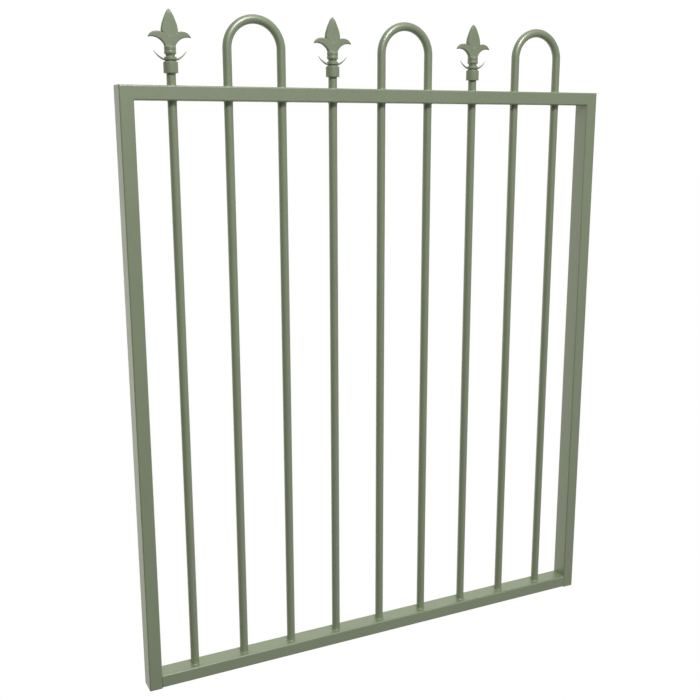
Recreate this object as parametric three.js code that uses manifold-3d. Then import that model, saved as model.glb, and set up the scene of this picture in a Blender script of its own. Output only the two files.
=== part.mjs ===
// Ornamental gate leaf: a mitred rectangular-tube frame, nine round verticals made of three
// straight pickets and three inverted-U hoops, and a fleur-de-lis finial on each picket.
// Millimetres. X runs along the gate, Y is its depth (front at -Y), Z is up. The origin is at the
// middle of the gate's foot.

import * as THREE from 'three';
import { mergeVertices } from 'three/addons/utils/BufferGeometryUtils.js';
import Module from 'manifold-3d';

const wasm = await Module();
wasm.setup();

// Driving dimensions of the frame
const GATE_WIDTH = 1000;
const FRAME_HEIGHT = 1112;
const TUBE_FACE = 25; // narrow side of the frame tube, turned to the front
const TUBE_DEPTH = 38; // wide side, along Y
const TUBE_WALL = 2;
const TUBE_CORNER = 2.5; // outer corner radius
const TUBE_BORE_CORNER = 1;
const RAIL_LIFT = 1; // step from the stiles' feet up to the bottom rail
const PLUG_HEIGHT = 12;
const FIT = 0.3; // clearance between neighbouring pieces

// Driving dimensions of the verticals
const PICKET_DIAMETER = 16;
const PICKET_WALL = 1.2;
const PICKET_PITCH = 101.25;
const PICKET_COUNT = 9;
const SPEAR_PLACES = [0, 3, 6]; // the other places carry the legs of the hoops
const HOOP_PLACES = [1, 4, 7]; // left leg of each hoop
const HOOP_CROWN = 115; // centreline of the hoop above the top rail

// Driving dimensions of the finials, with heights above the top rail
const FERRULE_RADIUS = 12.5;
const FERRULE_BOTTOM = 20.5;
const FERRULE_SHOULDER = 38.3;
const FERRULE_TOP = 41;
const FERRULE_LIP = 2;
const COLLAR_RADIUS = 10.6;
const NECK_RADIUS = 8;
const NECK_BOTTOM = 48.3;
const BEAD_RADIUS = 10.1;
const BEAD_BOTTOM = 51.3;
const BEAD_HEIGHT = 6.4;
const STEM_BOTTOM = 64.3;
const SPIGOT_RADIUS = 6.5;
const SPIGOT_BOTTOM = 8;
const SPEAR_TIP = 124.8;
const LEAF_RADIUS = 14.8;
const LEAF_HALF_DEPTH = 5;
const WING_REACH = 37.3; // tip of each side leaf, from the axis of the picket
const WING_TIP = 79;
const HORN_REACH = 30.3; // tip of each horn, from the axis of the picket
const HORN_TIP = 57.8;
const HORN_DEPTH = 3.4;
const SCREW_RADIUS = 2;
const SCREW_HEIGHT = 30;
const SCREW_SOCKET = 1.1;

const ROUND_SIDES = 20;
const HOOP_SIDES = 16;
const HOOP_BEND_STEPS = 16;
const OUTLINE_STEPS = 5;

const picketRadius = PICKET_DIAMETER / 2;
const picketBore = picketRadius - PICKET_WALL;
const picketFoot = RAIL_LIFT + TUBE_WALL + FIT;
const topRailHeight = FRAME_HEIGHT - TUBE_FACE / 2;
const bottomRailHeight = RAIL_LIFT + TUBE_FACE / 2;
const stilePlace = (GATE_WIDTH - TUBE_FACE) / 2;
const picketPlaces = Array.from({ length: PICKET_COUNT }, (_, i) => (
  (i - (PICKET_COUNT - 1) / 2) * PICKET_PITCH
));

const paint = { color: 0x7f8a70, roughness: 0.42, metalness: 0 };
const plugPlastic = { color: 0x2a2c2a, roughness: 0.6, metalness: 0 };
const screwSteel = { color: 0x6d7466, roughness: 0.45, metalness: 0.3 };

// Joining and cutting

function toSolid(geometry) {
  const bare = geometry.clone();
  bare.deleteAttribute('normal');
  bare.deleteAttribute('uv');
  const merged = mergeVertices(bare, 1e-4);
  return new wasm.Manifold(new wasm.Mesh({
    numProp: 3,
    vertProperties: new Float32Array(merged.attributes.position.array),
    triVerts: new Uint32Array(merged.index.array),
  }));
}

function toGeometry(solid) {
  const mesh = solid.getMesh();
  const geometry = new THREE.BufferGeometry();
  geometry.setAttribute('position', new THREE.BufferAttribute(mesh.vertProperties, 3));
  geometry.setIndex(new THREE.BufferAttribute(mesh.triVerts, 1));
  return geometry;
}

function cut(geometry, tools) {
  const solid = tools.reduce((rest, tool) => rest.subtract(toSolid(tool)), toSolid(geometry));
  return toGeometry(solid);
}

function join(geometries) {
  const solid = geometries.map(toSolid).reduce((sum, next) => sum.add(next));
  return toGeometry(solid);
}

function overlap(first, second) {
  return toGeometry(toSolid(first).intersect(toSolid(second)));
}

// Shapes that several pieces share

function circlePoints(radius, sides) {
  return Array.from({ length: sides }, (_, i) => {
    const angle = (2 * Math.PI * i) / sides;
    return new THREE.Vector2(radius * Math.cos(angle), radius * Math.sin(angle));
  });
}

function ringShape(outer, inner, sides) {
  const shape = new THREE.Shape(circlePoints(outer, sides));
  shape.holes.push(new THREE.Path(circlePoints(inner, sides)));
  return shape;
}

function roundedRectangle(width, height, radius) {
  const shape = new THREE.Shape();
  const x = width / 2 - radius;
  const y = height / 2 - radius;
  shape.absarc(x, y, radius, 0, Math.PI / 2);
  shape.absarc(-x, y, radius, Math.PI / 2, Math.PI);
  shape.absarc(-x, -y, radius, Math.PI, 1.5 * Math.PI);
  shape.absarc(x, -y, radius, 1.5 * Math.PI, 2 * Math.PI);
  shape.closePath();
  return shape;
}

function extrude(shape, depth) {
  return new THREE.ExtrudeGeometry(shape, { depth, bevelEnabled: false, curveSegments: 3 });
}

// Frame tube standing on z = 0, with its narrow side along X
function frameTube(length) {
  const shape = roundedRectangle(TUBE_FACE, TUBE_DEPTH, TUBE_CORNER);
  const boreWidth = TUBE_FACE - 2 * TUBE_WALL;
  const boreDepth = TUBE_DEPTH - 2 * TUBE_WALL;
  shape.holes.push(roundedRectangle(boreWidth, boreDepth, TUBE_BORE_CORNER));
  return extrude(shape, length);
}

// The same tube lying along X, centred on the origin
function railTube(length) {
  return frameTube(length).translate(0, 0, -length / 2).rotateY(Math.PI / 2);
}

function uprightCylinder(radius, bottom, top, sides = ROUND_SIDES) {
  const cylinder = new THREE.CylinderGeometry(radius, radius, top - bottom, sides);
  return cylinder.rotateX(Math.PI / 2).translate(0, 0, (bottom + top) / 2);
}

// Upright cutter that leaves FIT all the way round a bar of the given radius
function clearanceCutter(radius, bottom, top) {
  return uprightCylinder((radius + FIT) / Math.cos(Math.PI / ROUND_SIDES), bottom, top);
}

// Solid of revolution about Z, from [radius, height] pairs
function turned(profile) {
  const points = profile.map(([radius, height]) => new THREE.Vector2(radius, height));
  return new THREE.LatheGeometry(points, ROUND_SIDES).rotateX(Math.PI / 2);
}

// Frame

// Block with one face on the mitre plane at a top corner: it covers the rail's side of the plane
// or the stile's, and reaches half the gap past it
function mitreBlock(side, coversRail) {
  const size = 4 * TUBE_DEPTH;
  const direction = coversRail ? 1 : -1;
  return new THREE.BoxGeometry(size, size, size)
    .translate(0, 0, direction * (size - FIT) / 2)
    .rotateY((-side * Math.PI) / 4);
}

function stile(side) {
  const corner = mitreBlock(side, true).translate((side * TUBE_FACE) / 2, 0, FRAME_HEIGHT);
  return cut(frameTube(FRAME_HEIGHT), [corner]);
}

function topRail() {
  const corners = [-1, 1].map((side) => (
    mitreBlock(side, false).translate((side * GATE_WIDTH) / 2, 0, TUBE_FACE / 2)
  ));
  const holes = picketPlaces.map((x) => (
    clearanceCutter(picketRadius, -TUBE_FACE, TUBE_FACE).translate(x, 0, 0)
  ));
  return cut(railTube(GATE_WIDTH), [...corners, ...holes]);
}

// Only the upper wall of the bottom rail is punched
function bottomRail() {
  const holes = picketPlaces.map((x) => (
    clearanceCutter(picketRadius, 0, TUBE_FACE).translate(x, 0, 0)
  ));
  return cut(railTube(GATE_WIDTH - 2 * TUBE_FACE - 2 * FIT), holes);
}

function footPlug() {
  const slack = 2 * (TUBE_WALL + FIT);
  return extrude(roundedRectangle(TUBE_FACE - slack, TUBE_DEPTH - slack, TUBE_BORE_CORNER), PLUG_HEIGHT);
}

// Verticals

// Cross hole for the grub screw, through the wall at the back
function screwCutter(height) {
  return new THREE.CylinderGeometry(SCREW_RADIUS + FIT, SCREW_RADIUS + FIT, FERRULE_RADIUS, ROUND_SIDES)
    .translate(0, FERRULE_RADIUS, height);
}

function spearPicket() {
  const length = FRAME_HEIGHT + FERRULE_TOP - FERRULE_LIP - FIT - picketFoot;
  const tube = extrude(ringShape(picketRadius, picketBore, ROUND_SIDES), length);
  return cut(tube, [screwCutter(FRAME_HEIGHT + SCREW_HEIGHT - picketFoot)]);
}

// Centreline of a hoop: a straight leg, a half circle and the other leg. The bend is stepped
// evenly by angle and each leg is one step.
class HoopPath extends THREE.Curve {
  constructor(radius, springing, steps) {
    super();
    this.radius = radius;
    this.springing = springing;
    this.bendSteps = steps;
  }

  angleAt(t) {
    const station = t * (this.bendSteps + 2) - 1;
    const turn = THREE.MathUtils.clamp(station / this.bendSteps, 0, 1);
    return Math.PI * (1 - turn);
  }

  getPointAt(t) {
    const angle = this.angleAt(t);
    const isFoot = t < 1e-6 || t > 1 - 1e-6;
    const height = isFoot ? 0 : this.springing + this.radius * Math.sin(angle);
    return new THREE.Vector3(this.radius * Math.cos(angle), 0, height);
  }

  getTangentAt(t) {
    const angle = this.angleAt(t);
    return new THREE.Vector3(Math.sin(angle), 0, -Math.cos(angle));
  }
}

function hoop() {
  const radius = PICKET_PITCH / 2;
  const springing = FRAME_HEIGHT + HOOP_CROWN - radius - picketFoot;
  return new THREE.ExtrudeGeometry(ringShape(picketRadius, picketBore, HOOP_SIDES), {
    steps: HOOP_BEND_STEPS + 2,
    extrudePath: new HoopPath(radius, springing, HOOP_BEND_STEPS),
  });
}

// Finials

// Sleeve over the end of the picket, closed above it by a lip that the head's spigot passes
function ferrule() {
  const bore = (picketRadius + FIT) / Math.cos(Math.PI / ROUND_SIDES);
  const throat = SPIGOT_RADIUS + FIT;
  const body = turned([
    [bore, FERRULE_BOTTOM],
    [FERRULE_RADIUS, FERRULE_BOTTOM],
    [FERRULE_RADIUS, FERRULE_SHOULDER],
    [COLLAR_RADIUS, FERRULE_TOP - 1],
    [COLLAR_RADIUS - 0.6, FERRULE_TOP],
    [throat, FERRULE_TOP],
    [throat, FERRULE_TOP - FERRULE_LIP],
    [bore, FERRULE_TOP - FERRULE_LIP],
    [bore, FERRULE_BOTTOM],
  ]);
  return cut(body, [screwCutter(SCREW_HEIGHT)]);
}

// One tapering horn, curving up from the collar
function horn(side) {
  const outline = new THREE.Shape();
  const root = NECK_RADIUS + 0.5;
  outline.moveTo(side * root, FERRULE_TOP + 1);
  outline.quadraticCurveTo(side * 21.5, FERRULE_TOP + 3.3, side * HORN_REACH, HORN_TIP);
  outline.quadraticCurveTo(side * 20.2, NECK_BOTTOM + 0.6, side * root, NECK_BOTTOM - 2.4);
  outline.closePath();
  const solid = new THREE.ExtrudeGeometry(outline, {
    depth: HORN_DEPTH,
    bevelEnabled: false,
    curveSegments: OUTLINE_STEPS,
  });
  return solid.translate(0, 0, -HORN_DEPTH / 2).rotateX(Math.PI / 2);
}

// Flared collar between the ferrule and the neck, with a horn on each side
function crescent() {
  const bore = SPIGOT_RADIUS + FIT;
  const bottom = FERRULE_TOP + FIT;
  const top = NECK_BOTTOM - FIT;
  const collar = turned([
    [bore, bottom],
    [NECK_RADIUS + 0.8, bottom],
    [NECK_RADIUS + 0.8, bottom + 1.2],
    [COLLAR_RADIUS, bottom + 2],
    [COLLAR_RADIUS - 0.3, bottom + 3.6],
    [NECK_RADIUS + 1, bottom + 5],
    [NECK_RADIUS, top],
    [bore, top],
    [bore, bottom],
  ]);
  return join([collar, horn(-1), horn(1)]);
}

// Ring bead between two grooves, as [radius, height] pairs
function bead(bottom) {
  const groove = BEAD_RADIUS - 0.9;
  return [
    [groove, bottom],
    [BEAD_RADIUS, bottom + 1.2],
    [BEAD_RADIUS, bottom + BEAD_HEIGHT - 1.2],
    [groove, bottom + BEAD_HEIGHT],
  ];
}

// Side leaf and half of the stem, seen from the front
function wing(side) {
  const outline = new THREE.Shape();
  const overlapWidth = 2; // the two halves overlap across the middle
  outline.moveTo(-side * overlapWidth, STEM_BOTTOM);
  outline.lineTo(side * BEAD_RADIUS, STEM_BOTTOM);
  outline.quadraticCurveTo(side * 13.5, 73.5, side * 26, 79.2);
  outline.quadraticCurveTo(side * 31.5, 81.2, side * WING_REACH, WING_TIP);
  outline.quadraticCurveTo(side * 37.5, 88, side * 24, 89.6);
  outline.lineTo(side * 15.3, 89.2);
  outline.quadraticCurveTo(side * 5.5, 87, -side * overlapWidth, WING_TIP);
  outline.closePath();
  const depth = 2 * LEAF_HALF_DEPTH;
  const solid = new THREE.ExtrudeGeometry(outline, {
    depth,
    bevelEnabled: false,
    curveSegments: OUTLINE_STEPS,
  });
  return solid.translate(0, 0, -depth / 2).rotateX(Math.PI / 2);
}

// Plan of the side leaves: full depth at the stem, thin at the tips
function wingPlan() {
  const plan = new THREE.Shape();
  const edge = [[0, LEAF_HALF_DEPTH], [14, 3.8], [28, 2.6], [WING_REACH + 1, 1]];
  const right = edge.map(([x, y]) => new THREE.Vector2(x, y));
  const left = edge.slice(1).reverse().map(([x, y]) => new THREE.Vector2(-x, y));
  const back = [...left, ...right];
  const front = back.map((point) => new THREE.Vector2(point.x, -point.y)).reverse();
  plan.setFromPoints([...back, ...front]);
  return extrude(plan, SPEAR_TIP);
}

// Pointed middle leaf, flattened front to back
function middleLeaf() {
  const flank = new THREE.QuadraticBezierCurve(
    new THREE.Vector2(LEAF_RADIUS, 90),
    new THREE.Vector2(LEAF_RADIUS - 0.2, 106),
    new THREE.Vector2(0, SPEAR_TIP),
  );
  const upper = flank.getPoints(OUTLINE_STEPS + 2).map((point) => [point.x, point.y]);
  const lower = [[0, STEM_BOTTOM + 4], [8, 74], [13, 82]];
  return turned([...lower, ...upper]).scale(1, LEAF_HALF_DEPTH / LEAF_RADIUS, 1);
}

function spearHead() {
  const shank = turned([
    [0, SPIGOT_BOTTOM],
    [SPIGOT_RADIUS, SPIGOT_BOTTOM],
    [SPIGOT_RADIUS, NECK_BOTTOM],
    [NECK_RADIUS, NECK_BOTTOM],
    [NECK_RADIUS, BEAD_BOTTOM],
    ...bead(BEAD_BOTTOM),
    ...bead(BEAD_BOTTOM + BEAD_HEIGHT),
    [BEAD_RADIUS - 2, STEM_BOTTOM + 2],
    [0, STEM_BOTTOM + 8],
  ]);
  const wings = overlap(join([wing(-1), wing(1)]), wingPlan());
  return join([shank, wings, middleLeaf()]);
}

// Grub screw: through the ferrule and the picket at the back, bearing on the spigot
function ferruleScrew() {
  const start = SPIGOT_RADIUS + FIT;
  const end = FERRULE_RADIUS - 0.4;
  const body = new THREE.CylinderGeometry(SCREW_RADIUS, SCREW_RADIUS, end - start, ROUND_SIDES)
    .translate(0, (start + end) / 2, 0);
  const socket = new THREE.CylinderGeometry(SCREW_SOCKET, SCREW_SOCKET, 4, 6).translate(0, end, 0);
  return cut(body, [socket]);
}

// Assembly

function piece(name, geometry, look) {
  const mesh = new THREE.Mesh(geometry, new THREE.MeshStandardMaterial(look));
  mesh.name = name;
  return mesh;
}

const gate = new THREE.Group();

for (const [name, side] of [['left', -1], ['right', 1]]) {
  const post = new THREE.Group();
  post.position.x = side * stilePlace;
  post.add(piece(`stile_${name}`, stile(side), paint));
  post.add(piece(`foot_plug_${name}`, footPlug(), plugPlastic));
  gate.add(post);
}

const upperRail = piece('top_rail', topRail(), paint);
upperRail.position.z = topRailHeight;
gate.add(upperRail);

const lowerRail = piece('bottom_rail', bottomRail(), paint);
lowerRail.position.z = bottomRailHeight;
gate.add(lowerRail);

SPEAR_PLACES.forEach((place, i) => {
  const number = i + 1;
  const picket = piece(`spear_picket_${number}`, spearPicket(), paint);
  picket.position.set(picketPlaces[place], 0, picketFoot);
  gate.add(picket);

  const finial = new THREE.Group();
  finial.position.set(picketPlaces[place], 0, FRAME_HEIGHT);
  finial.add(piece(`ferrule_${number}`, ferrule(), paint));
  finial.add(piece(`crescent_${number}`, crescent(), paint));
  finial.add(piece(`spear_head_${number}`, spearHead(), paint));
  const screw = piece(`ferrule_screw_${number}`, ferruleScrew(), screwSteel);
  screw.position.z = SCREW_HEIGHT;
  finial.add(screw);
  gate.add(finial);
});

HOOP_PLACES.forEach((place, i) => {
  const bow = piece(`hoop_${i + 1}`, hoop(), paint);
  bow.position.set(picketPlaces[place] + PICKET_PITCH / 2, 0, picketFoot);
  gate.add(bow);
});

export default gate;
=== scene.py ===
import math

import bmesh
import bpy
import numpy as np
from mathutils import Matrix, Vector


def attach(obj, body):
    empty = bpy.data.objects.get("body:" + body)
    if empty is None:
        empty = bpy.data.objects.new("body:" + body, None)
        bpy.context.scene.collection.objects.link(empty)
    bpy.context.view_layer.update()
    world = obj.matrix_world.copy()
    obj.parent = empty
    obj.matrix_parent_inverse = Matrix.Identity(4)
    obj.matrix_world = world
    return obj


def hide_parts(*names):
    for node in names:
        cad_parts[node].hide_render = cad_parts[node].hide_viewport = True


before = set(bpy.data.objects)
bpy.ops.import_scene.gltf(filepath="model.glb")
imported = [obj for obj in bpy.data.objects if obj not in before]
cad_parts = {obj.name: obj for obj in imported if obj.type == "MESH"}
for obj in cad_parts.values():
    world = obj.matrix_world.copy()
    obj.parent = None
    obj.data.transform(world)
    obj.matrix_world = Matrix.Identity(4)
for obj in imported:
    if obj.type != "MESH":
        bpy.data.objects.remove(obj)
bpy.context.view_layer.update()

scene = bpy.context.scene

# ---------------------------------------------------------------------------------------------
# Studio. The leaf stands on a plain white floor inside a plain white tent. A soft box lights it
# from the front and above, and the back of the tent glows faintly warm. The eye is a little
# below the top rail, to the left of the leaf, and looks slightly down.
# ---------------------------------------------------------------------------------------------
scene.view_settings.view_transform = "Standard"

EYE_PLACE = Vector((-0.8938, -1.6786, 1.0363))
EYE_YAW = math.radians(26.220)
EYE_PITCH = math.radians(12.661)
EYE_ROLL = math.radians(-0.139)
LENS_MM = 50.19

forward = Vector((
    math.sin(EYE_YAW) * math.cos(EYE_PITCH),
    math.cos(EYE_YAW) * math.cos(EYE_PITCH),
    -math.sin(EYE_PITCH),
))
level = Vector((math.cos(EYE_YAW), -math.sin(EYE_YAW), 0))
upward = level.cross(forward)
sideways = math.cos(EYE_ROLL) * level + math.sin(EYE_ROLL) * upward
upward = math.cos(EYE_ROLL) * upward - math.sin(EYE_ROLL) * level

eye = bpy.data.objects.new("eye", bpy.data.cameras.new("eye"))
scene.collection.objects.link(eye)
eye.data.lens = LENS_MM
eye.data.sensor_width = 36
turn = Matrix((sideways, upward, -forward)).transposed().to_4x4()
eye.matrix_world = Matrix.Translation(EYE_PLACE) @ turn
scene.camera = eye


class Wire:
    """An output socket. Sums on it add Math nodes, and give another Wire."""

    def __init__(self, bench, socket):
        self.bench = bench
        self.socket = socket

    def _math(self, operation, first, second=0.0):
        return self.bench.node("ShaderNodeMath", {"operation": operation}, {0: first, 1: second})

    def __add__(self, other):
        return self._math("ADD", self, other)

    def __radd__(self, other):
        return self._math("ADD", other, self)

    def __sub__(self, other):
        return self._math("SUBTRACT", self, other)

    def __rsub__(self, other):
        return self._math("SUBTRACT", other, self)

    def __mul__(self, other):
        return self._math("MULTIPLY", self, other)

    def __rmul__(self, other):
        return self._math("MULTIPLY", other, self)

    def __neg__(self):
        return self._math("MULTIPLY", self, -1.0)

    def at_least(self, other):
        return self._math("MAXIMUM", self, other)

    def power(self, other):
        return self._math("POWER", self, other)


class Bench:
    """Makes the nodes of one tree."""

    def __init__(self, tree):
        self.tree = tree

    def node(self, kind, settings=None, values=None, out=0):
        """A node of that type: its settings first, then the values or links of its sockets."""
        made = self.tree.nodes.new(kind)
        for name, value in (settings or {}).items():
            setattr(made, name, value)
        for key, value in (values or {}).items():
            if isinstance(value, Wire):
                self.tree.links.new(value.socket, made.inputs[key])
            else:
                made.inputs[key].default_value = value
        if not made.outputs:
            return made
        return Wire(self, made.outputs[out])

    def parts(self, vector):
        """The X, Y and Z of a vector."""
        split = self.node("ShaderNodeSeparateXYZ", None, {0: vector})
        outputs = split.socket.node.outputs
        return [Wire(self, outputs[i]) for i in range(3)]


# Light of the tent from each side, and of a brighter patch of its far side
TENT_GLOW = {
    "right": 0.36,
    "back": 0.86,
    "front": 0.16,
    "above": 0.19,
    "below": 0.10,
    "far side": 0.82,
}
BACK_TINT = (0.98, 1.0, 0.87, 1)
FAR_SIDE_EAST = -0.20
FAR_SIDE_NORTH = 0.95
FAR_SIDE_RISE = -0.23
FAR_SIDE_FOCUS = 16.0

world = bpy.data.worlds.new("tent_light")
scene.world = world
world.use_nodes = True
world.node_tree.nodes.clear()
sky = Bench(world.node_tree)
heading = sky.node("ShaderNodeTexCoord", None, None, "Generated")
east, north, rise = sky.parts(heading)
near_glow = (
    east.at_least(0.0) * TENT_GLOW["right"]
    + (-north).at_least(0.0) * TENT_GLOW["front"]
    + rise.at_least(0.0) * TENT_GLOW["above"]
    + (-rise).at_least(0.0) * TENT_GLOW["below"]
)
far_side = east * FAR_SIDE_EAST + north * FAR_SIDE_NORTH + rise * FAR_SIDE_RISE
back_glow = (
    north.at_least(0.0) * TENT_GLOW["back"]
    + far_side.at_least(0.0).power(FAR_SIDE_FOCUS) * TENT_GLOW["far side"]
)
near_shine = sky.node("ShaderNodeBackground", None, {
    "Color": (1, 1, 1, 1), "Strength": near_glow,
})
back_shine = sky.node("ShaderNodeBackground", None, {"Color": BACK_TINT, "Strength": back_glow})
shine = sky.node("ShaderNodeAddShader", None, {0: near_shine, 1: back_shine})
sky.node("ShaderNodeOutputWorld", None, {"Surface": shine})


def soft_light(name, place, aim, size, watts):
    lamp = bpy.data.lights.new(name, "AREA")
    lamp.shape = "RECTANGLE"
    lamp.size, lamp.size_y = size
    lamp.energy = watts
    box = bpy.data.objects.new(name, lamp)
    box.location = place
    box.rotation_mode = "QUATERNION"
    box.rotation_quaternion = (aim - place).to_track_quat("-Z", "Y")
    box.visible_camera = False
    scene.collection.objects.link(box)


LEAF_MIDDLE = Vector((0, 0, 0.9))
FRONT_BOX_AWAY = 5.0
FRONT_BOX_LEFT = math.radians(5)
FRONT_BOX_RISE = math.radians(42)
FRONT_BOX_SIZE = (1.2, 1.2)
FRONT_BOX_WATTS = 175
OVERHEAD_BOX_PLACE = Vector((0.0, 0.2, 4.0))
OVERHEAD_BOX_AIM = Vector((0.0, 0.0, 0.6))
OVERHEAD_BOX_SIZE = (2.5, 2.5)
OVERHEAD_BOX_WATTS = 8
front_box_place = LEAF_MIDDLE + FRONT_BOX_AWAY * Vector((
    -math.sin(FRONT_BOX_LEFT) * math.cos(FRONT_BOX_RISE),
    -math.cos(FRONT_BOX_LEFT) * math.cos(FRONT_BOX_RISE),
    math.sin(FRONT_BOX_RISE),
))
soft_light("front_box", front_box_place, LEAF_MIDDLE, FRONT_BOX_SIZE, FRONT_BOX_WATTS)
soft_light(
    "overhead_box", OVERHEAD_BOX_PLACE, OVERHEAD_BOX_AIM, OVERHEAD_BOX_SIZE, OVERHEAD_BOX_WATTS
)


def plain_white(name, strength):
    white = bpy.data.materials.new(name)
    white.use_nodes = True
    white.node_tree.nodes.clear()
    bench = Bench(white.node_tree)
    light = bench.node("ShaderNodeEmission", None, {"Color": (1, 1, 1, 1), "Strength": strength})
    bench.node("ShaderNodeOutputMaterial", None, {"Surface": light})
    return white


def only_seen(thing):
    """Leaves the stage in sight, and out of the lighting of the gate."""
    thing.visible_diffuse = False
    thing.visible_glossy = False
    thing.visible_transmission = False
    thing.visible_shadow = False
    scene.collection.objects.link(thing)


FLOOR_REACH = 24.0
FLOOR_GLOW = 1.0
TENT_WALL_GLOW = 1.02
floor_form = bmesh.new()
bmesh.ops.create_circle(floor_form, cap_ends=True, segments=96, radius=FLOOR_REACH)
floor_mesh = bpy.data.meshes.new("floor")
floor_form.to_mesh(floor_mesh)
floor_form.free()
floor_mesh.materials.append(plain_white("floor_white", FLOOR_GLOW))
only_seen(bpy.data.objects.new("floor", floor_mesh))

tent_form = bmesh.new()
bmesh.ops.create_icosphere(tent_form, subdivisions=4, radius=FLOOR_REACH)
bmesh.ops.reverse_faces(tent_form, faces=tent_form.faces)
tent_mesh = bpy.data.meshes.new("tent")
tent_form.to_mesh(tent_mesh)
tent_form.free()
tent_mesh.materials.append(plain_white("tent_white", TENT_WALL_GLOW))
only_seen(bpy.data.objects.new("tent", tent_mesh))

# ---------------------------------------------------------------------------------------------
# Frame. Two stiles and two rails of 38 x 25 mm rectangular steel tube with a 2 mm wall, its
# narrow side to the front. The top corners are mitred and ground flush, the bottom rail is
# butted between the stiles, and all of it is welded and powder coated in a sage green.
# ---------------------------------------------------------------------------------------------
GATE_WIDTH = 1.0
FRAME_HEIGHT = 1.112
TUBE_FACE = 0.025
TUBE_DEPTH = 0.038
TUBE_WALL = 0.002
TUBE_CORNER = 0.0025
BORE_CORNER = 0.001
CORNER_STEPS = 8
TUBE_CREASE = 40
RAIL_LIFT = 0.001
PICKET_RADIUS = 0.008
PICKET_PITCH = 0.10125
PICKET_PLACES = [(i - 4) * PICKET_PITCH for i in range(9)]
HOLE_PLAY = 0.0003
HOLE_RADIUS = PICKET_RADIUS + HOLE_PLAY
HOLE_SIDES = 48

SAGE = (0.228, 0.284, 0.156)
SAGE_SPREAD = 0.06
COAT_ROUGHNESS = 0.40
COAT_IOR = 2.4
SMOOTH_STEEL = 0.0
CLOUD_SCALE = 11.0
MOTTLE_SCALE = 140.0
GRAIN_SCALE = 420.0
PEEL_SCALE = 950.0
NOISE_ROUGHNESS = 0.55
# Share of each in the colour and in the roughness: cloud, mottle, and rounded edges, which the
# colour paints paler as a painted highlight
COLOUR_SHARES = (0.9, 0.5, 0.35)
ROUGH_SHARES = (0.06, 0.10, 0.03)
GRAIN_LIFT = 3.0
COAT_BUMP = 0.5
COAT_BUMP_DEPTH = 0.00002


def sage_coat(name, sage, dullness, cast, coat_ior):
    """Powder coat of that sage. cast is how much of a sand casting's grain shows through it."""
    coat = bpy.data.materials.new(name)
    coat.use_nodes = True
    coat.node_tree.nodes.clear()
    bench = Bench(coat.node_tree)
    place = bench.node("ShaderNodeTexCoord", None, None, "Object")

    def noise(scale, detail):
        return bench.node("ShaderNodeTexNoise", None, {
            "Vector": place,
            "Scale": scale,
            "Detail": detail,
            "Roughness": NOISE_ROUGHNESS,
        })

    cloud = noise(CLOUD_SCALE, 2.0) - 0.5
    mottle = noise(MOTTLE_SCALE, 2.0) - 0.5
    grain = noise(GRAIN_SCALE, 3.0)
    peel = noise(PEEL_SCALE, 1.0)
    edge = bench.node("ShaderNodeAttribute", {"attribute_name": "edge"}, None, "Fac")

    def mixed(shares):
        return cloud * shares[0] + mottle * shares[1] + edge * shares[2]

    # Rounded edges and ridges come out slightly paler here: a painted highlight, not wear.
    shade = 0.5 + mixed(COLOUR_SHARES)
    deep = [channel * (1 - SAGE_SPREAD) for channel in sage] + [1]
    pale = [channel * (1 + SAGE_SPREAD) for channel in sage] + [1]
    colour = bench.node(
        "ShaderNodeMix",
        {"data_type": "RGBA"},
        {"Factor": shade, 6: deep, 7: pale},
        2,
    )
    rough = dullness + mixed(ROUGH_SHARES)
    height = peel * (1 - cast) + grain * (cast * GRAIN_LIFT)
    bump = bench.node("ShaderNodeBump", None, {
        "Strength": COAT_BUMP,
        "Distance": COAT_BUMP_DEPTH,
        "Height": height,
    })
    paint = bench.node("ShaderNodeBsdfPrincipled", None, {
        "Base Color": colour,
        "Roughness": rough,
        "IOR": coat_ior,
        "Normal": bump,
    })
    bench.node("ShaderNodeOutputMaterial", None, {"Surface": paint})
    return coat


powder_coat = sage_coat("sage_powder_coat", SAGE, COAT_ROUGHNESS, SMOOTH_STEEL, COAT_IOR)


def rounded_outline(width, height, radius):
    """Corner-rounded rectangle as points, and how far round a corner each point is."""
    points, roundness = [], []
    for quarter, (sx, sy) in enumerate(((1, 1), (-1, 1), (-1, -1), (1, -1))):
        for step in range(CORNER_STEPS + 1):
            angle = math.pi / 2 * (quarter + step / CORNER_STEPS)
            points.append((
                sx * (width / 2 - radius) + radius * math.cos(angle),
                sy * (height / 2 - radius) + radius * math.sin(angle),
            ))
            roundness.append(math.sin(math.pi * step / CORNER_STEPS))
    return points, roundness


def new_piece(name, mesh, material):
    """Puts a mesh in the scene as a piece of the leaf."""
    mesh.name = name
    mesh.materials.clear()
    mesh.materials.append(material)
    piece = bpy.data.objects.new(name, mesh)
    scene.collection.objects.link(piece)
    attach(piece, "root")
    return piece


def settled(thing):
    """The thing's shape with its modifiers worked in, as a plain mesh."""
    bpy.context.view_layer.update()
    graph = bpy.context.evaluated_depsgraph_get()
    return bpy.data.meshes.new_from_object(
        thing.evaluated_get(graph), preserve_all_data_layers=True, depsgraph=graph
    )


def scratch(name, mesh):
    """An object that only carries modifiers for a while."""
    thing = bpy.data.objects.new(name, mesh)
    scene.collection.objects.link(thing)
    return thing


def face_outward(mesh, crease_degrees):
    """Merges doubles, turns the faces outward, and keeps edges sharper than the crease."""
    form = bmesh.new()
    form.from_mesh(mesh)
    bmesh.ops.remove_doubles(form, verts=form.verts, dist=1e-7)
    bmesh.ops.recalc_face_normals(form, faces=form.faces)
    for face in form.faces:
        face.smooth = True
    crease = math.radians(crease_degrees)
    for side in form.edges:
        side.smooth = side.is_manifold and side.calc_face_angle(0) < crease
    form.to_mesh(mesh)
    form.free()


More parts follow.
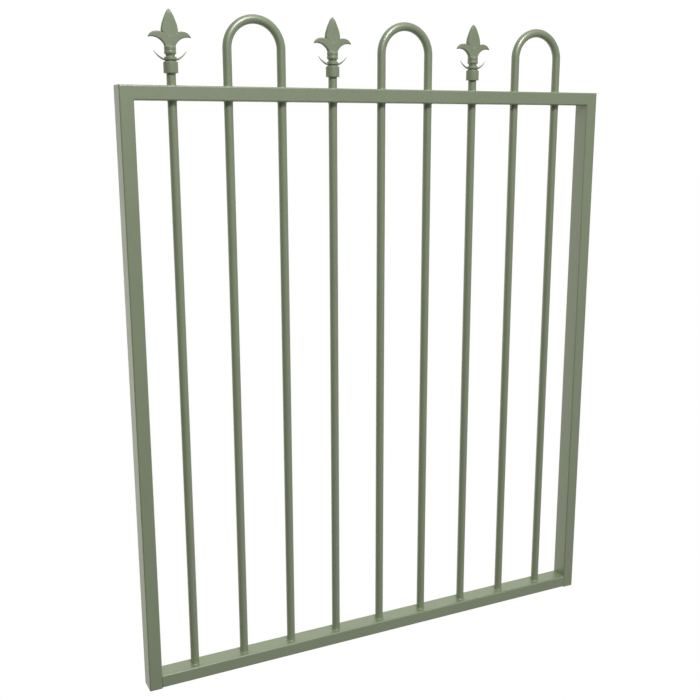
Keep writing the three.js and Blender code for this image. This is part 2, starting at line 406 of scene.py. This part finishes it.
def evened(mesh):
    """The mesh with normals weighted by area, so that flat sides shade flat to their edges."""
    thing = scratch("evening", mesh)
    weight = thing.modifiers.new("weight", "WEIGHTED_NORMAL")
    weight.keep_sharp = True
    weight.weight = 100
    result = settled(thing)
    bpy.data.objects.remove(thing)
    return result


def frame_tube(start, end, to_leaf):
    """Tube along an axis. start and end give its length for each place across its face."""
    outer, roundness = rounded_outline(TUBE_FACE, TUBE_DEPTH, TUBE_CORNER)
    bore, _ = rounded_outline(
        TUBE_FACE - 2 * TUBE_WALL, TUBE_DEPTH - 2 * TUBE_WALL, BORE_CORNER
    )
    count = len(outer)
    rings = [(outer, start), (outer, end), (bore, end), (bore, start)]
    points = [to_leaf(u, v, along(u)) for ring, along in rings for u, v in ring]
    faces = []
    for ring in range(4):
        following = (ring + 1) % 4
        for i in range(count):
            j = (i + 1) % count
            faces.append((
                ring * count + i,
                ring * count + j,
                following * count + j,
                following * count + i,
            ))
    mesh = bpy.data.meshes.new("tube")
    mesh.from_pydata(points, [], faces)
    # The corner rounding is stored for the coat, which paints those corners paler as a painted
    # highlight.
    edge = mesh.attributes.new("edge", "FLOAT", "POINT")
    edge.data.foreach_set("value", roundness * 2 + [0.0] * (2 * count))
    return mesh


def punched(mesh, low, high):
    """The tube with a round hole at each vertical, through the walls between two heights."""
    form = bmesh.new()
    for x in PICKET_PLACES:
        bmesh.ops.create_cone(
            form,
            cap_ends=True,
            segments=HOLE_SIDES,
            radius1=HOLE_RADIUS,
            radius2=HOLE_RADIUS,
            depth=high - low,
            matrix=Matrix.Translation((x, 0, (low + high) / 2)),
        )
    drills = bpy.data.meshes.new("drills")
    form.to_mesh(drills)
    form.free()
    tool = scratch("drills", drills)
    thing = scratch("punching", mesh)
    punch = thing.modifiers.new("punch", "BOOLEAN")
    punch.operation = "DIFFERENCE"
    punch.solver = "EXACT"
    punch.object = tool
    result = settled(thing)
    bpy.data.objects.remove(thing)
    bpy.data.objects.remove(tool)
    return result


def frame_piece(name, mesh):
    face_outward(mesh, TUBE_CREASE)
    piece = new_piece(name, evened(mesh), powder_coat)
    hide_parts(name)


MITRE_MIDDLE = FRAME_HEIGHT - TUBE_FACE / 2
STILE_PLACE = (GATE_WIDTH - TUBE_FACE) / 2
RAIL_END = STILE_PLACE - TUBE_FACE / 2
RAIL_MIDDLE = RAIL_LIFT + TUBE_FACE / 2
THROUGH_TOP_RAIL = (FRAME_HEIGHT - 0.04, FRAME_HEIGHT + 0.02)
INTO_BOTTOM_RAIL = (RAIL_MIDDLE, 0.05)

for side_name, side in (("left", -1), ("right", 1)):
    frame_piece(f"stile_{side_name}", frame_tube(
        lambda u: 0.0,
        lambda u: MITRE_MIDDLE + side * u,
        lambda u, v, s: (side * STILE_PLACE + u, v, s),
    ))

top_rail = frame_tube(
    lambda u: -STILE_PLACE - u,
    lambda u: STILE_PLACE + u,
    lambda u, v, s: (s, v, MITRE_MIDDLE + u),
)
frame_piece("top_rail", punched(top_rail, *THROUGH_TOP_RAIL))

bottom_rail = frame_tube(
    lambda u: -RAIL_END,
    lambda u: RAIL_END,
    lambda u, v, s: (s, v, RAIL_MIDDLE + u),
)
frame_piece("bottom_rail", punched(bottom_rail, *INTO_BOTTOM_RAIL))

# ---------------------------------------------------------------------------------------------
# Foot plugs. A dark moulded plastic plug is pushed up into the open foot of each stile, flush
# with the sawn end. Lips round it grip the wall of the tube.
# ---------------------------------------------------------------------------------------------
PLUG_SLACK = 0.0003
PLUG_CREASE = 35
PLUG_DARK = (0.016, 0.018, 0.016, 1)
PLUG_PALE = (0.034, 0.036, 0.033, 1)
PLUG_ROUGHNESS = 0.55
SPARK_SCALE = 1800.0
SCUFF_SCALE = 260.0
SCUFF_IN_COLOUR = 1.2
SCUFF_IN_ROUGHNESS = 0.2
SPARK_BUMP = 0.6
SPARK_DEPTH = 0.00003
PLUG_RINGS = [
    # height above the foot, and how far in from the wall
    (0.0000, 0.0011), (0.0003, 0.0004), (0.0008, 0.0), (0.0024, 0.0), (0.0028, 0.0008),
    (0.0040, 0.0008), (0.0044, 0.0001), (0.0050, 0.0001), (0.0062, 0.0008), (0.0074, 0.0008),
    (0.0078, 0.0001), (0.0084, 0.0001), (0.0096, 0.0008), (0.0114, 0.0009), (0.0120, 0.0016),
]


def plug_plastic():
    plastic = bpy.data.materials.new("foot_plug_plastic")
    plastic.use_nodes = True
    plastic.node_tree.nodes.clear()
    bench = Bench(plastic.node_tree)
    place = bench.node("ShaderNodeTexCoord", None, None, "Object")
    spark = bench.node("ShaderNodeTexNoise", None, {
        "Vector": place, "Scale": SPARK_SCALE, "Detail": 2.0,
    })
    scuff = bench.node("ShaderNodeTexNoise", None, {
        "Vector": place, "Scale": SCUFF_SCALE, "Detail": 4.0,
    }) - 0.5
    colour = bench.node(
        "ShaderNodeMix",
        {"data_type": "RGBA"},
        {"Factor": 0.5 + scuff * SCUFF_IN_COLOUR, 6: PLUG_DARK, 7: PLUG_PALE},
        2,
    )
    bump = bench.node("ShaderNodeBump", None, {
        "Strength": SPARK_BUMP, "Distance": SPARK_DEPTH, "Height": spark,
    })
    body = bench.node("ShaderNodeBsdfPrincipled", None, {
        "Base Color": colour,
        "Roughness": PLUG_ROUGHNESS + scuff * SCUFF_IN_ROUGHNESS,
        "Normal": bump,
    })
    bench.node("ShaderNodeOutputMaterial", None, {"Surface": body})
    return plastic


def stacked(rings):
    """Closed solid through rings of equally many points, from the lowest to the highest."""
    count = len(rings[0])
    points = [point for ring in rings for point in ring]
    faces = [tuple(range(count)), tuple(range(len(points) - count, len(points)))]
    for level_index in range(len(rings) - 1):
        base = level_index * count
        for i in range(count):
            j = (i + 1) % count
            faces.append((base + i, base + j, base + count + j, base + count + i))
    mesh = bpy.data.meshes.new("stack")
    mesh.from_pydata(points, [], faces)
    return mesh


plug_finish = plug_plastic()
for side_name, side in (("left", -1), ("right", 1)):
    rings = []
    for height, inset in PLUG_RINGS:
        slack = 2 * (TUBE_WALL + PLUG_SLACK + inset)
        outline, _ = rounded_outline(TUBE_FACE - slack, TUBE_DEPTH - slack, BORE_CORNER)
        rings.append([(side * STILE_PLACE + x, y, height) for x, y in outline])
    mesh = stacked(rings)
    face_outward(mesh, PLUG_CREASE)
    plug = new_piece(f"foot_plug_{side_name}", evened(mesh), plug_finish)
    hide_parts(f"foot_plug_{side_name}")

# ---------------------------------------------------------------------------------------------
# Verticals. Nine places at an even pitch: three straight pickets, and three hoops bent from one
# length each. All are 16 mm round tube, pushed through the top rail and into the bottom rail,
# and welded there.
# ---------------------------------------------------------------------------------------------
PICKET_FOOT = RAIL_LIFT + TUBE_WALL + HOLE_PLAY
PICKET_ABOVE_RAIL = 0.0387
PICKET_TOP = FRAME_HEIGHT + PICKET_ABOVE_RAIL
PICKET_STEPS = 12
BAR_SIDES = 48
BAR_CREASE = 40
SPEAR_PLACES = [PICKET_PLACES[i] for i in (0, 3, 6)]
HOOP_MIDDLES = [PICKET_PLACES[i] + PICKET_PITCH / 2 for i in (1, 4, 7)]
HOOP_CROWN = 0.115
BEND_RADIUS = PICKET_PITCH / 2
BEND_STEPS = 64


def new_tree(name, sizes):
    """An empty geometry tree with those named inputs, its bench, and their wires."""
    tree = bpy.data.node_groups.new(name, "GeometryNodeTree")
    tree.interface.new_socket("Geometry", in_out="INPUT", socket_type="NodeSocketGeometry")
    for label, kind in sizes:
        tree.interface.new_socket(label, in_out="INPUT", socket_type=kind)
    tree.interface.new_socket("Geometry", in_out="OUTPUT", socket_type="NodeSocketGeometry")
    bench = Bench(tree)
    entry = tree.nodes.new("NodeGroupInput")
    wires = {socket.name: Wire(bench, socket) for socket in entry.outputs if socket.name}
    return tree, bench, wires


def close_tree(bench, shape, material_wire):
    """Ends a tree: instances made real, the finish set, and the result handed on."""
    real = bench.node("GeometryNodeRealizeInstances", None, {"Geometry": shape})
    coated = bench.node(
        "GeometryNodeSetMaterial", None, {"Geometry": real, "Material": material_wire}
    )
    bench.node("NodeGroupOutput", None, {"Geometry": coated})


def grown(name, base_mesh, tree, values):
    """Runs a tree on a mesh and gives the result as a plain mesh."""
    thing = scratch(name, base_mesh)
    modifier = thing.modifiers.new(tree.name, "NODES")
    modifier.node_group = tree
    for item in tree.interface.items_tree:
        if item.in_out == "INPUT" and item.name in values:
            modifier[item.identifier] = values[item.name]
    result = settled(thing)
    bpy.data.objects.remove(thing)
    return result


bar_tree, bar, bar_in = new_tree("round_bar_along_path", [
    ("Bar Radius", "NodeSocketFloat"),
    ("Sides", "NodeSocketInt"),
    ("Finish", "NodeSocketMaterial"),
])
bar_path = bar.node("GeometryNodeMeshToCurve", None, {"Mesh": bar_in["Geometry"]})
bar_section = bar.node("GeometryNodeCurvePrimitiveCircle", None, {
    "Resolution": bar_in["Sides"],
    "Radius": bar_in["Bar Radius"],
})
bar_skin = bar.node("GeometryNodeCurveToMesh", None, {
    "Curve": bar_path,
    "Profile Curve": bar_section,
    "Fill Caps": True,
})
close_tree(bar, bar_skin, bar_in["Finish"])


def path_mesh(points):
    mesh = bpy.data.meshes.new("path")
    mesh.from_pydata(points, [(i, i + 1) for i in range(len(points) - 1)], [])
    return mesh


def vertical(name, points):
    mesh = grown("sweep", path_mesh(points), bar_tree, {
        "Bar Radius": PICKET_RADIUS,
        "Sides": BAR_SIDES,
        "Finish": powder_coat,
    })
    face_outward(mesh, BAR_CREASE)
    piece = new_piece(name, mesh, powder_coat)
    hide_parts(name)


for number, x in enumerate(SPEAR_PLACES, 1):
    vertical(f"spear_picket_{number}", [
        (x, 0, PICKET_FOOT + (PICKET_TOP - PICKET_FOOT) * i / PICKET_STEPS)
        for i in range(PICKET_STEPS + 1)
    ])

springing = FRAME_HEIGHT + HOOP_CROWN - BEND_RADIUS
for number, middle in enumerate(HOOP_MIDDLES, 1):
    bend = [
        (
            middle - BEND_RADIUS * math.cos(math.pi * i / BEND_STEPS),
            0,
            springing + BEND_RADIUS * math.sin(math.pi * i / BEND_STEPS),
        )
        for i in range(BEND_STEPS + 1)
    ]
    left_leg = (middle - BEND_RADIUS, 0, PICKET_FOOT)
    right_leg = (middle + BEND_RADIUS, 0, PICKET_FOOT)
    vertical(f"hoop_{number}", [left_leg, *bend, right_leg])

# ---------------------------------------------------------------------------------------------
# Weld fillets. Each vertical is welded where it meets a rail: a small bead runs round it on
# both faces of the top rail and on the upper face of the bottom rail, under the powder coat.
# ---------------------------------------------------------------------------------------------
FILLET_SIZE = 0.0013
FILLET_RING_SIDES = 56
FILLET_BEAD_SIDES = 14
FILLET_CREASE = 60
RIPPLE_HEIGHT = 0.0006
RIPPLE_SCALE = 420.0
fillet_tree, fillet, fillet_in = new_tree("weld_fillets", [
    ("Height", "NodeSocketFloat"),
    ("Pitch", "NodeSocketFloat"),
    ("First Place", "NodeSocketFloat"),
    ("Count", "NodeSocketInt"),
    ("Bar Radius", "NodeSocketFloat"),
    ("Bead Size", "NodeSocketFloat"),
    ("Ripple", "NodeSocketFloat"),
    ("Seed", "NodeSocketFloat"),
    ("Finish", "NodeSocketMaterial"),
])
first_spot = fillet.node("ShaderNodeCombineXYZ", None, {
    0: fillet_in["First Place"], 2: fillet_in["Height"],
})
spot_step = fillet.node("ShaderNodeCombineXYZ", None, {0: fillet_in["Pitch"]})
spots = fillet.node("GeometryNodeMeshLine", None, {
    "Count": fillet_in["Count"], "Start Location": first_spot, "Offset": spot_step,
})
ring_path = fillet.node("GeometryNodeCurvePrimitiveCircle", None, {
    "Resolution": FILLET_RING_SIDES, "Radius": fillet_in["Bar Radius"],
})
bead_section = fillet.node("GeometryNodeCurvePrimitiveCircle", None, {
    "Resolution": FILLET_BEAD_SIDES, "Radius": fillet_in["Bead Size"],
})
bead_ring = fillet.node("GeometryNodeCurveToMesh", None, {
    "Curve": ring_path, "Profile Curve": bead_section,
})
beads = fillet.node("GeometryNodeInstanceOnPoints", None, {
    "Points": spots, "Instance": bead_ring,
})
real_beads = fillet.node("GeometryNodeRealizeInstances", None, {"Geometry": beads})
bead_place = fillet.node("GeometryNodeInputPosition")
ripple_noise = fillet.node("ShaderNodeTexNoise", {"noise_dimensions": "4D"}, {
    "Vector": bead_place, "W": fillet_in["Seed"], "Scale": RIPPLE_SCALE, "Detail": 1.0,
})
bead_normal = fillet.node("GeometryNodeInputNormal")
push = fillet.node("ShaderNodeVectorMath", {"operation": "SCALE"}, {
    0: bead_normal, "Scale": (ripple_noise - 0.5) * fillet_in["Ripple"],
})
rippled = fillet.node("GeometryNodeSetPosition", None, {
    "Geometry": real_beads, "Offset": push,
})
close_tree(fillet, rippled, fillet_in["Finish"])

for seed, (label, height) in enumerate((
    ("top_rail_upper", FRAME_HEIGHT),
    ("top_rail_lower", FRAME_HEIGHT - TUBE_FACE),
    ("bottom_rail_upper", RAIL_LIFT + TUBE_FACE),
)):
    mesh = grown("welding", bpy.data.meshes.new("welds"), fillet_tree, {
        "Height": height,
        "Pitch": PICKET_PITCH,
        "First Place": PICKET_PLACES[0],
        "Count": len(PICKET_PLACES),
        "Bar Radius": PICKET_RADIUS,
        "Bead Size": FILLET_SIZE,
        "Ripple": RIPPLE_HEIGHT,
        "Seed": float(seed),
        "Finish": powder_coat,
    })
    face_outward(mesh, FILLET_CREASE)
    new_piece(f"weld_fillets_{label}", mesh, powder_coat)

# ---------------------------------------------------------------------------------------------
# Ferrules. A short turned sleeve over the end of each straight picket, with a stepped top that
# the crescent sits on. A small hole at its back takes the screw that holds the head, and it is
# coated with the head, over a slightly grainy surface.
# ---------------------------------------------------------------------------------------------
# The castings have the same sage paint as the tubes. Their colour is set paler as a painted
# sheen, making up for the reflection lost at their lower IOR.
CASTING_SAGE_AND_SHEEN = (0.246, 0.300, 0.182)
CASTING_ROUGHNESS = 0.42
CASTING_GRAIN = 0.2
CASTING_IOR = 1.8
casting_coat = sage_coat(
    "sage_coated_casting", CASTING_SAGE_AND_SHEEN, CASTING_ROUGHNESS, CASTING_GRAIN, CASTING_IOR
)
TURNED_SIDES = 72
TURNED_CREASE = 50
MM = 0.001
FERRULE_PROFILE = [
    # radius and height above the top rail, in millimetres
    (8.3, 20.7), (8.5, 20.5), (11.9, 20.5), (12.3, 20.65), (12.5, 21.1), (12.5, 30.0),
    (12.5, 38.2), (12.42, 38.5), (12.15, 38.75), (10.8, 38.9), (10.45, 39.1), (10.4, 40.2),
    (8.4, 40.3), (8.3, 41.0), (6.8, 41.0), (6.8, 39.0), (8.3, 39.0),
]
FERRULE_RADIUS = 0.0125
SCREW_RADIUS = 0.002
SCREW_PLAY = 0.0003
SCREW_HEIGHT = 0.030
DRILL_SIDES = 32
DRILL_LENGTH = 0.012


def turned(profile, closed):
    """Solid of revolution about Z from (radius, height) pairs in millimetres."""
    points, rings, faces = [], [], []
    for radius, height in profile:
        if radius == 0:
            rings.append([len(points)])
            points.append((0, 0, height * MM))
            continue
        rings.append(list(range(len(points), len(points) + TURNED_SIDES)))
        for i in range(TURNED_SIDES):
            angle = 2 * math.pi * i / TURNED_SIDES
            points.append((
                radius * MM * math.cos(angle), radius * MM * math.sin(angle), height * MM
            ))
    pairs = list(zip(rings, rings[1:]))
    if closed:
        pairs.append((rings[-1], rings[0]))
    for lower, upper in pairs:
        for i in range(TURNED_SIDES):
            corner = [
                lower[i % len(lower)],
                lower[(i + 1) % len(lower)],
                upper[(i + 1) % len(upper)],
                upper[i % len(upper)],
            ]
            faces.append(tuple(dict.fromkeys(corner)))
    mesh = bpy.data.meshes.new("turned")
    mesh.from_pydata(points, [], faces)
    return mesh


def moved_copy(mesh, x):
    """A copy of a finial part, moved from the axis to its picket."""
    copy = mesh.copy()
    copy.transform(Matrix.Translation((x, 0, FRAME_HEIGHT)))
    return copy


drill_form = bmesh.new()
bmesh.ops.create_cone(
    drill_form,
    cap_ends=True,
    segments=DRILL_SIDES,
    radius1=SCREW_RADIUS + SCREW_PLAY,
    radius2=SCREW_RADIUS + SCREW_PLAY,
    depth=DRILL_LENGTH,
    matrix=(
        Matrix.Translation((0, FERRULE_RADIUS, SCREW_HEIGHT))
        @ Matrix.Rotation(math.pi / 2, 4, "X")
    ),
)
drill_mesh = bpy.data.meshes.new("screw_drill")
drill_form.to_mesh(drill_mesh)
drill_form.free()
screw_drill = scratch("screw_drill", drill_mesh)
sleeve = turned(FERRULE_PROFILE, True)
face_outward(sleeve, TURNED_CREASE)
sleeve_thing = scratch("sleeve", sleeve)
tapping = sleeve_thing.modifiers.new("tap", "BOOLEAN")
tapping.operation = "DIFFERENCE"
tapping.solver = "EXACT"
tapping.object = screw_drill
sleeve = settled(sleeve_thing)
bpy.data.objects.remove(sleeve_thing)
bpy.data.objects.remove(screw_drill)
face_outward(sleeve, TURNED_CREASE)
sleeve = evened(sleeve)

for number, x in enumerate(SPEAR_PLACES, 1):
    ferrule = new_piece(
        f"ferrule_{number}", moved_copy(sleeve, x), casting_coat
    )
    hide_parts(f"ferrule_{number}")

# ---------------------------------------------------------------------------------------------
# Crescents. A flared collar between the ferrule and the head, cast in one with two thin round
# horns that sweep out to each side and taper up to a point.
# ---------------------------------------------------------------------------------------------
COLLAR_PROFILE = [
    # radius and height, in millimetres
    (6.8, 41.3), (8.1, 41.3), (8.2, 41.6), (9.8, 41.9), (10.5, 42.4), (10.7, 43.2), (10.68, 45.2),
    (10.6, 46.4), (10.3, 46.9), (9.2, 47.2), (8.1, 47.4), (8.0, 48.0), (6.8, 48.0),
]
HORN_LINE = [
    # distance from the axis, height and radius, in millimetres
    (7.6, 42.7, 2.2), (9.7, 42.9, 2.1), (11.8, 43.3, 1.95), (13.9, 44.0, 1.8), (16.8, 45.5, 1.6),
    (18.7, 46.8, 1.45), (20.8, 48.4, 1.28), (22.8, 50.0, 1.1), (24.4, 51.6, 0.95),
    (25.7, 53.1, 0.8), (27.0, 54.7, 0.62), (28.3, 56.2, 0.45), (29.6, 57.7, 0.25),
]
HORN_RINGS = 40
HORN_SIDES = 20
LINE_ROUNDS = 3
VOXEL = 0.00028
NO_CREASE = 180
SMOOTH_SHARE = 0.5
CRESCENT_ROUNDS = 4
# How far a point stands out from its surroundings, averaged so many times, sets the edge
# attribute (a painted highlight), in full at this far
EDGE_ROUNDS = 4
EDGE_REACH = 0.0004


def smooth_line(rows, count):
    """Rows of numbers as an evenly divided smooth line through them."""
    rows = np.array(rows, float)
    steps = np.r_[0, np.cumsum(np.linalg.norm(np.diff(rows[:, :2], axis=0), axis=1))]
    wanted = np.linspace(0, steps[-1], count)
    spread = np.array([np.interp(wanted, steps, column) for column in rows.T]).T
    for _ in range(LINE_ROUNDS):
        spread[1:-1] = (spread[:-2] + 2 * spread[1:-1] + spread[2:]) / 4
    return spread


def horn(side):
    """One horn: round sections that shrink along its line, on that side of the collar."""
    line = smooth_line(HORN_LINE, HORN_RINGS)
    slope = np.gradient(line[:, :2], axis=0)
    slope /= np.linalg.norm(slope, axis=1)[:, None]
    rings = []
    for (x, z, radius), (dx, dz) in zip(line, slope):
        ring = []
        for i in range(HORN_SIDES):
            angle = 2 * math.pi * i / HORN_SIDES
            off = radius * math.cos(angle)
            ring.append((
                side * (x - dz * off) * MM,
                radius * math.sin(angle) * MM,
                (z + dx * off) * MM,
            ))
        rings.append(ring)
    return stacked(rings)


def fused(name, meshes, rounds):
    """One casting from overlapping solids: joined, made one skin, and smoothed."""
    form = bmesh.new()
    for mesh in meshes:
        face_outward(mesh, NO_CREASE)
        form.from_mesh(mesh)
    whole = bpy.data.meshes.new(name)
    form.to_mesh(whole)
    form.free()
    thing = scratch(name, whole)
    skin = thing.modifiers.new("skin", "REMESH")
    skin.mode = "VOXEL"
    skin.voxel_size = VOXEL
    skin.use_smooth_shade = True
    smoothing = thing.modifiers.new("smooth", "SMOOTH")
    smoothing.factor = SMOOTH_SHARE
    smoothing.iterations = rounds
    result = settled(thing)
    bpy.data.objects.remove(thing)
    return result


def mark_edges(mesh):
    """Stores how far each point stands out from its neighbours, as the edge attribute, which the
    coat paints paler as a painted highlight on rims and ridges.
    """
    count = len(mesh.vertices)
    place = np.zeros(count * 3)
    mesh.vertices.foreach_get("co", place)
    place = place.reshape(-1, 3)
    pairs = np.zeros(len(mesh.edges) * 2, np.int32)
    mesh.edges.foreach_get("vertices", pairs)
    pairs = pairs.reshape(-1, 2)
    normal = np.zeros(count * 3)
    mesh.vertex_normals.foreach_get("vector", normal)
    normal = normal.reshape(-1, 3)
    links = np.bincount(pairs.ravel(), minlength=count).clip(1)
    value = place
    for _ in range(EDGE_ROUNDS):
        total = np.zeros_like(value)
        np.add.at(total, pairs[:, 0], value[pairs[:, 1]])
        np.add.at(total, pairs[:, 1], value[pairs[:, 0]])
        value = total / links[:, None]
    bulge = ((place - value) * normal).sum(1)
    edge = mesh.attributes.new("edge", "FLOAT", "POINT")
    edge.data.foreach_set("value", np.clip(bulge / EDGE_REACH, 0, 1).astype(np.float32))


crescent_form = fused(
    "crescent", [turned(COLLAR_PROFILE, True), horn(-1), horn(1)], CRESCENT_ROUNDS
)
mark_edges(crescent_form)
for number, x in enumerate(SPEAR_PLACES, 1):
    crescent = new_piece(
        f"crescent_{number}", moved_copy(crescent_form, x), casting_coat
    )
    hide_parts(f"crescent_{number}")

# ---------------------------------------------------------------------------------------------
# Spear heads. A cast fleur-de-lis: two ring beads, a flat stem that opens into two drooping
# side leaves, and a slightly thinner pointed leaf in the middle. A spigot below drops into the
# picket and is held by the ferrule's screw.
# ---------------------------------------------------------------------------------------------
SHANK_PROFILE = [
    # radius and height, in millimetres
    (0, 47.9), (6.9, 47.9), (7.8, 48.3), (7.8, 50.9), (8.2, 51.4), (9.6, 51.6), (10.0, 52.2),
    (10.2, 53.0), (10.2, 55.4), (10.1, 56.3), (9.85, 56.9), (9.55, 57.4), (9.55, 57.9),
    (9.95, 58.3), (10.15, 58.9), (10.2, 60.0), (10.2, 62.6), (10.0, 63.5), (9.4, 64.1),
    (8.0, 64.6), (5.0, 65.2), (0, 65.6),
]
PLATE_CREST = 5.3
PLATE_FALL = 0.06
PLATE_SHOULDER = 12
WING_FALL = 0.09
WING_TIP_DEPTH = 0.15
STEM_ROWS = [
    # height, half width, half depth
    (62.5, 9.6, PLATE_CREST), (66.5, 10.1, PLATE_CREST), (69.0, 10.2, PLATE_CREST),
    (72.0, 10.0, PLATE_CREST), (75.0, 9.0, PLATE_CREST), (78.0, 6.5, PLATE_CREST),
    (80.5, 3.4, PLATE_CREST), (82.0, 1.2, 5.4),
]
LEAF_ROWS = [
    # height, half width, half depth
    (76.0, 1.0, 4.8), (79.0, 3.5, 4.8), (83.0, 7.6, 4.8), (86.2, 12.0, 4.7), (88.5, 14.7, 4.7),
    (90.5, 14.9, 4.6), (93.0, 14.6, 4.6), (96.0, 14.1, 4.5), (99.0, 13.4, 4.5),
    (102.5, 12.4, 4.4), (105.7, 11.2, 4.4), (109.0, 9.9, 4.3), (112.4, 8.4, 4.2),
    (115.5, 7.0, 4.0), (118.0, 5.8, 3.8), (120.2, 4.7, 3.4), (122.2, 3.4, 2.9),
    (123.6, 2.0, 2.2), (124.7, 0.6, 1.2),
]
WING_LOWER = [
    # distance from the axis and height, in millimetres
    (10.0, 64.8), (10.9, 67.3), (12.7, 70.0), (14.9, 72.5), (17.6, 74.8), (20.8, 76.8),
    (24.2, 78.1), (28.0, 79.0), (31.6, 79.3), (34.8, 79.0), (37.4, 78.2),
]
WING_UPPER = [
    (-2.0, 64.8), (-2.0, 68.0), (-2.0, 72.0), (-1.5, 76.0), (0.8, 79.0), (4.2, 83.0), (9.0, 86.2),
    (15.0, 88.5), (20.0, 89.1), (25.0, 88.9), (29.9, 87.6), (34.0, 84.9), (36.6, 81.2),
    (37.8, 78.4),
]
WING_RIM = 1.4
WING_SECTIONS = 70
WING_STEPS = 18
SECTIONS = 90
SECTION_SIDES = 64
SECTION_ROUNDS = 4
STEM_RIDGE = 0.11
LEAF_RIDGE = -0.04
HEAD_ROUNDS = 5
SPIGOT_CREASE = 40


def section_stack(rows, rim, ridge):
    """Closed solid through flattened sections, each as height, half width and half depth.

    The faces round off to the edge over rim, and slope up to a middle line by the share ridge.
    """
    rows = np.array(rows, float)
    heights = np.linspace(rows[0, 0], rows[-1, 0], SECTIONS)
    widths = np.interp(heights, rows[:, 0], rows[:, 1])
    depths = np.interp(heights, rows[:, 0], rows[:, 2])
    for _ in range(SECTION_ROUNDS):
        widths[1:-1] = (widths[:-2] + 2 * widths[1:-1] + widths[2:]) / 4
        depths[1:-1] = (depths[:-2] + 2 * depths[1:-1] + depths[2:]) / 4
    rings = []
    for height, width, depth in zip(heights, widths, depths):
        ring = []
        for i in range(SECTION_SIDES):
            angle = 2 * math.pi * i / SECTION_SIDES
            across = math.cos(angle)
            inward = 1 - abs(across)
            swell = min(1.0, inward * width / rim) ** 0.5 * (1 - ridge + ridge * inward)
            ring.append((
                width * across * MM,
                math.copysign(depth * swell, math.sin(angle)) * MM,
                height * MM,
            ))
        rings.append(ring)
    return stacked(rings)


def side_leaf(side):
    """A drooping side leaf: a plate that falls away from the stem, rounded along its rim."""
    lower = smooth_line(WING_LOWER, WING_SECTIONS)
    upper = smooth_line(WING_UPPER, WING_SECTIONS)
    rings = []
    for low, high in zip(lower, upper):
        front, back = [], []
        for i in range(WING_STEPS + 1):
            share = 0.5 - 0.5 * math.cos(math.pi * i / WING_STEPS)
            x, z = low * (1 - share) + high * share
            inward = min(share, 1 - share) * math.dist(low, high)
            swell = min(1.0, inward / WING_RIM) ** 0.5
            near = min(abs(x), PLATE_SHOULDER)
            plate = PLATE_CREST - PLATE_FALL * near - WING_FALL * (abs(x) - near)
            bulge = max(plate * swell, WING_TIP_DEPTH)
            front.append((side * x * MM, -bulge * MM, z * MM))
            back.append((side * x * MM, bulge * MM, z * MM))
        rings.append(front + back[::-1])
    return stacked(rings)


head_form = fused("spear_head", [
    turned(SHANK_PROFILE, False),
    section_stack(STEM_ROWS, WING_RIM, STEM_RIDGE),
    section_stack(LEAF_ROWS, WING_RIM, LEAF_RIDGE),
    side_leaf(-1),
    side_leaf(1),
], HEAD_ROUNDS)
mark_edges(head_form)

SPIGOT_PROFILE = [(0, 8.0), (6.1, 8.0), (6.5, 8.5), (6.5, 48.6), (0, 48.6)]
spigot_form = turned(SPIGOT_PROFILE, False)
face_outward(spigot_form, SPIGOT_CREASE)
whole_head = bmesh.new()
whole_head.from_mesh(head_form)
whole_head.from_mesh(spigot_form)
whole_head.to_mesh(head_form)
whole_head.free()

for number, x in enumerate(SPEAR_PLACES, 1):
    head = new_piece(
        f"spear_head_{number}", moved_copy(head_form, x), casting_coat
    )
    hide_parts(f"spear_head_{number}")

# ---------------------------------------------------------------------------------------------
# Ferrule screws. A hexagon-socket grub screw at the back of each ferrule, through the picket's
# wall, holds the spigot of the head. It is coated with the rest.
# ---------------------------------------------------------------------------------------------
SCREW_START = 0.0068
SCREW_END = 0.0121
SOCKET_CORNERS = 6
SOCKET_RADIUS = 0.0011
SOCKET_DEPTH = 0.0018
SOCKET_FLOOR_RADIUS = 0.0002
SCREW_CUP_RADIUS = 0.0009
SCREW_POINT = 0.0006
SCREW_CHAMFER = 0.0003
SCREW_SIDES = 36
SCREW_CREASE = 35
SCREW_SAGE = (0.196, 0.244, 0.134)
screw_coat = sage_coat(
    "coated_screw", SCREW_SAGE, CASTING_ROUGHNESS, SMOOTH_STEEL, CASTING_IOR
)


def screw_ring(radius, reach, corners=None):
    """Ring of the screw round its axis, as a circle or as a hexagon."""
    ring = []
    for i in range(SCREW_SIDES):
        angle = 2 * math.pi * i / SCREW_SIDES
        size = radius
        if corners:
            size = radius * math.cos(math.pi / corners) / math.cos(
                (angle % (2 * math.pi / corners)) - math.pi / corners
            )
        ring.append((size * math.cos(angle), reach, size * math.sin(angle) + SCREW_HEIGHT))
    return ring


screw_form = stacked([
    screw_ring(SCREW_CUP_RADIUS, SCREW_START),
    screw_ring(SCREW_RADIUS - SCREW_POINT, SCREW_START),
    screw_ring(SCREW_RADIUS, SCREW_START + SCREW_POINT),
    screw_ring(SCREW_RADIUS, SCREW_END - SCREW_CHAMFER),
    screw_ring(SCREW_RADIUS - SCREW_CHAMFER, SCREW_END),
    screw_ring(SOCKET_RADIUS, SCREW_END, SOCKET_CORNERS),
    screw_ring(SOCKET_RADIUS, SCREW_END - SOCKET_DEPTH, SOCKET_CORNERS),
    screw_ring(SOCKET_FLOOR_RADIUS, SCREW_END - SOCKET_DEPTH - SCREW_CHAMFER),
])
face_outward(screw_form, SCREW_CREASE)
for number, x in enumerate(SPEAR_PLACES, 1):
    screw = new_piece(
        f"ferrule_screw_{number}", moved_copy(screw_form, x), screw_coat
    )
    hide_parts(f"ferrule_screw_{number}")
